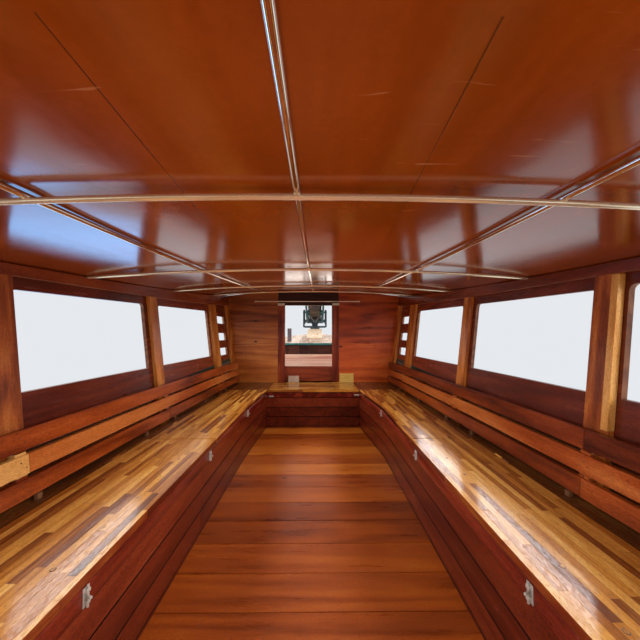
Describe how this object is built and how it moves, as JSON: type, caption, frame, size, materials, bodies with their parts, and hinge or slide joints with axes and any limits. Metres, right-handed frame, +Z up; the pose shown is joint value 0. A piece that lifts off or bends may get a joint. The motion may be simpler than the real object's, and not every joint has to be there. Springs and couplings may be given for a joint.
{
  "type": "longtail boat with a passenger cabin",
  "caption": "Narrow wooden longtail boat with a roofed bench cabin, raised stern deck and an inboard engine on a swivelling yoke that drives a propeller on a long tail shaft.",
  "frame": {"origin": "amidships on the centreline at the waterline", "axes": "+X to the bow, +Y to port, +Z up"},
  "size_m": [17.8666, 2.634, 3.1304],
  "materials": {
    "hull_paint": "oiled red-brown planking, satin",
    "hull_timber": "oiled hardwood, satin",
    "trim_paint": "teal paint on timber, semi-gloss",
    "deck_timber": "weathered bare planks, matt",
    "varnished_teak": "orange-brown varnish, glossy",
    "stained_timber": "dark red-brown stain, satin",
    "seat_teak": "laminated teak strips, clear gloss varnish",
    "roof_sheet": "glossy red-brown painted sheet",
    "roof_pipe": "galvanised pipe, worn",
    "drive_paint": "dark green-black paint, worn",
    "engine_iron": "oily brown cast iron",
    "engine_cover": "dull cast aluminium",
    "bronze": "worn bronze"
  },
  "bodies": {
    "hull": {"hull_bottom": "hull_paint", "hull_bow": "hull_paint", "hull_side_port": "hull_paint", "hull_side_starboard": "hull_paint", "keel": "hull_timber", "stem_post": "hull_timber", "transom": "hull_timber", "bow_bitt": "hull_timber", "gunwale_port_aft": "trim_paint", "gunwale_port_fore": "trim_paint", "gunwale_starboard_aft": "trim_paint", "gunwale_starboard_fore": "trim_paint", "fore_deck": "deck_timber", "stern_deck": "deck_timber", "engine_pedestal": "deck_timber", "cabin_sole": "varnished_teak", "cabin_rail_port_aft": "varnished_teak", "cabin_rail_port_fore": "varnished_teak", "cabin_rail_starboard_aft": "varnished_teak", "cabin_rail_starboard_fore": "varnished_teak", "backrest_port": "varnished_teak", "backrest_starboard": "varnished_teak", "aft_bulkhead_port": "varnished_teak", "aft_bulkhead_starboard": "varnished_teak", "fore_bulkhead_port": "varnished_teak", "fore_bulkhead_starboard": "varnished_teak", "stern_planks": "varnished_teak", "side_panel_port_1": "stained_timber", "side_panel_port_2": "stained_timber", "side_panel_port_3": "stained_timber", "side_panel_starboard_1": "stained_timber", "side_panel_starboard_2": "stained_timber", "side_panel_starboard_3": "stained_timber", "bench_front_port": "stained_timber", "bench_front_starboard": "stained_timber", "aft_bench_front": "stained_timber", "aft_door_frame": "stained_timber", "fore_door_frame": "stained_timber", "bench_seat_port": "seat_teak", "bench_seat_starboard": "seat_teak", "aft_sill_board": "seat_teak", "roof_skin": "roof_sheet", "roof_pipes": "roof_pipe"},
    "yoke": {"swivel_yoke": "drive_paint"},
    "engine": {"engine_cradle": "drive_paint", "engine_block": "engine_iron", "engine_head": "engine_cover", "belt_drive": "drive_paint", "exhaust": "engine_iron", "air_cleaner": "drive_paint", "tiller": "drive_paint", "tail_tube": "drive_paint"},
    "propeller": {"propeller": "bronze"},
    "aft_bench_lid": {"aft_bench_lid": "seat_teak"},
    "bench_lid_port_1": {"bench_lid_port_1": "seat_teak"},
    "bench_lid_port_2": {"bench_lid_port_2": "seat_teak"},
    "bench_lid_port_3": {"bench_lid_port_3": "seat_teak"},
    "bench_lid_starboard_1": {"bench_lid_starboard_1": "seat_teak"},
    "bench_lid_starboard_2": {"bench_lid_starboard_2": "seat_teak"},
    "bench_lid_starboard_3": {"bench_lid_starboard_3": "seat_teak"}
  },
  "joints": [
    {"name": "engine_swivel", "type": "hinge", "parent": "hull", "child": "yoke", "pos_m": [-6.05, 0, 1.236], "axis": [0, 0, 1], "range_deg": [-50, 50]},
    {"name": "engine_tilt", "type": "hinge", "parent": "yoke", "child": "engine", "pos_m": [-6.05, 0, 1.6], "axis": [0, 1, 0], "range_deg": [-4, 24.5]},
    {"name": "propeller_spin", "type": "hinge", "parent": "engine", "child": "propeller", "pos_m": [-10.7255, 0, -0.05568], "axis": [0.9426, 0, 0.3338], "continuous": true},
    {"name": "bench_lid_port_1_hinge", "type": "hinge", "parent": "hull", "child": "bench_lid_port_1", "pos_m": [-2.021, 0.98525, 0.47], "axis": [-1, 0, 0], "range_deg": [0, 85]},
    {"name": "bench_lid_port_2_hinge", "type": "hinge", "parent": "hull", "child": "bench_lid_port_2", "pos_m": [-0.132, 1.00806, 0.47], "axis": [-1, 0, 0], "range_deg": [0, 85]},
    {"name": "bench_lid_port_3_hinge", "type": "hinge", "parent": "hull", "child": "bench_lid_port_3", "pos_m": [1.8715, 0.86167, 0.47], "axis": [-1, 0, 0], "range_deg": [0, 85]},
    {"name": "bench_lid_starboard_1_hinge", "type": "hinge", "parent": "hull", "child": "bench_lid_starboard_1", "pos_m": [-2.021, -0.98525, 0.47], "axis": [1, 0, 0], "range_deg": [0, 85]},
    {"name": "bench_lid_starboard_2_hinge", "type": "hinge", "parent": "hull", "child": "bench_lid_starboard_2", "pos_m": [-0.132, -1.00806, 0.47], "axis": [1, 0, 0], "range_deg": [0, 85]},
    {"name": "bench_lid_starboard_3_hinge", "type": "hinge", "parent": "hull", "child": "bench_lid_starboard_3", "pos_m": [1.8715, -0.86167, 0.47], "axis": [1, 0, 0], "range_deg": [0, 85]},
    {"name": "aft_bench_lid_hinge", "type": "hinge", "parent": "hull", "child": "aft_bench_lid", "pos_m": [-3.45, 0, 0.47], "axis": [0, -1, 0], "range_deg": [0, 85]}
  ]
}
